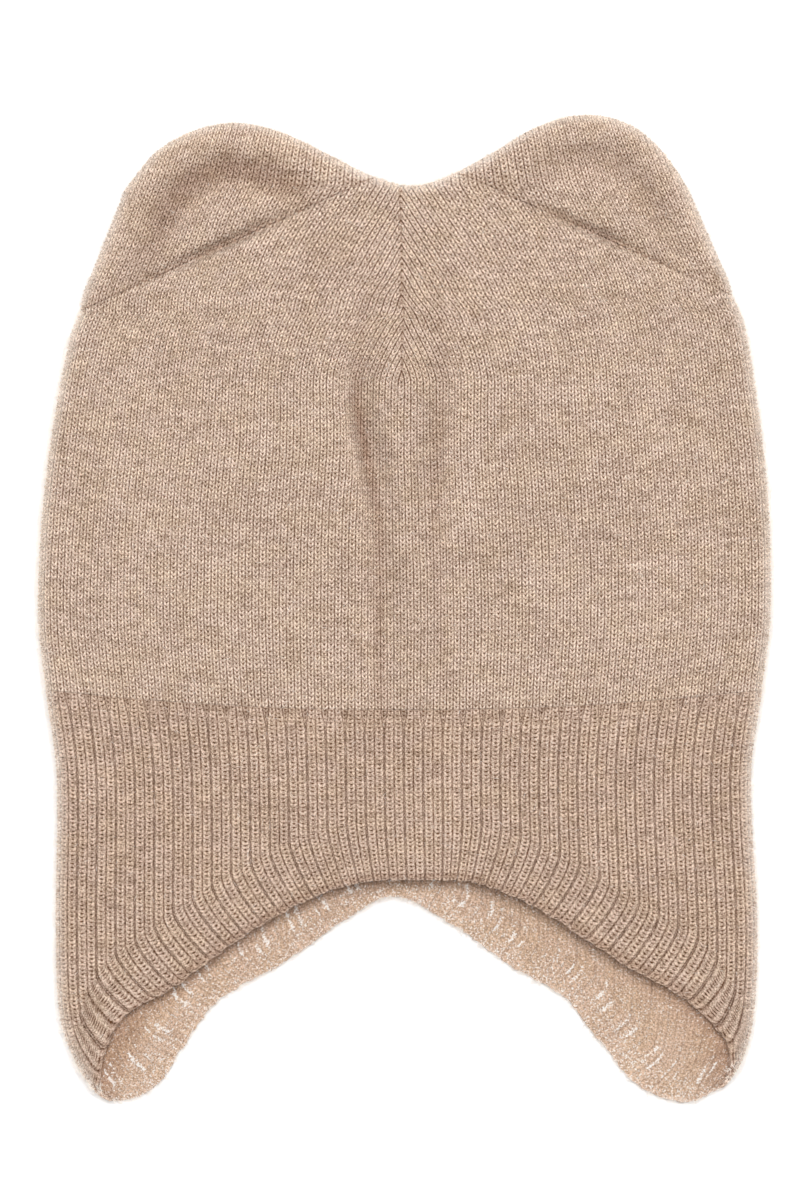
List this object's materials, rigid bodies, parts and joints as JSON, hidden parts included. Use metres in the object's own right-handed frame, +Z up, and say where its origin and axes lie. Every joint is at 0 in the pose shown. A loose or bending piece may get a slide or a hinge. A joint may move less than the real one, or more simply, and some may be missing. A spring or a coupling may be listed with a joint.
{
  "type": "knit hat",
  "caption": "Toddler's knit hat with stitched ear corners and ear flaps, plain knit above a ribbed band, lying flat on its back with an open hollow for the head.",
  "frame": {"origin": "on the surface that the hat lies on, under the middle of its outline", "axes": "+X across the hat, +Y from the ear flaps to the crown's top, +Z up out of the hat's front"},
  "size_m": [0.183, 0.2457, 0.0144],
  "materials": {
    "plain_knit": "matte beige melange wool in plain knit, with fine columns of V stitches and slight fuzz",
    "rib_knit": "the same matte beige melange wool in ribs of two knit columns and a sunken purl one"
  },
  "bodies": {
    "root": {"crown": "plain_knit", "ear_left": "plain_knit", "ear_right": "plain_knit", "rib_band": "rib_knit"}
  },
  "joints": []
}
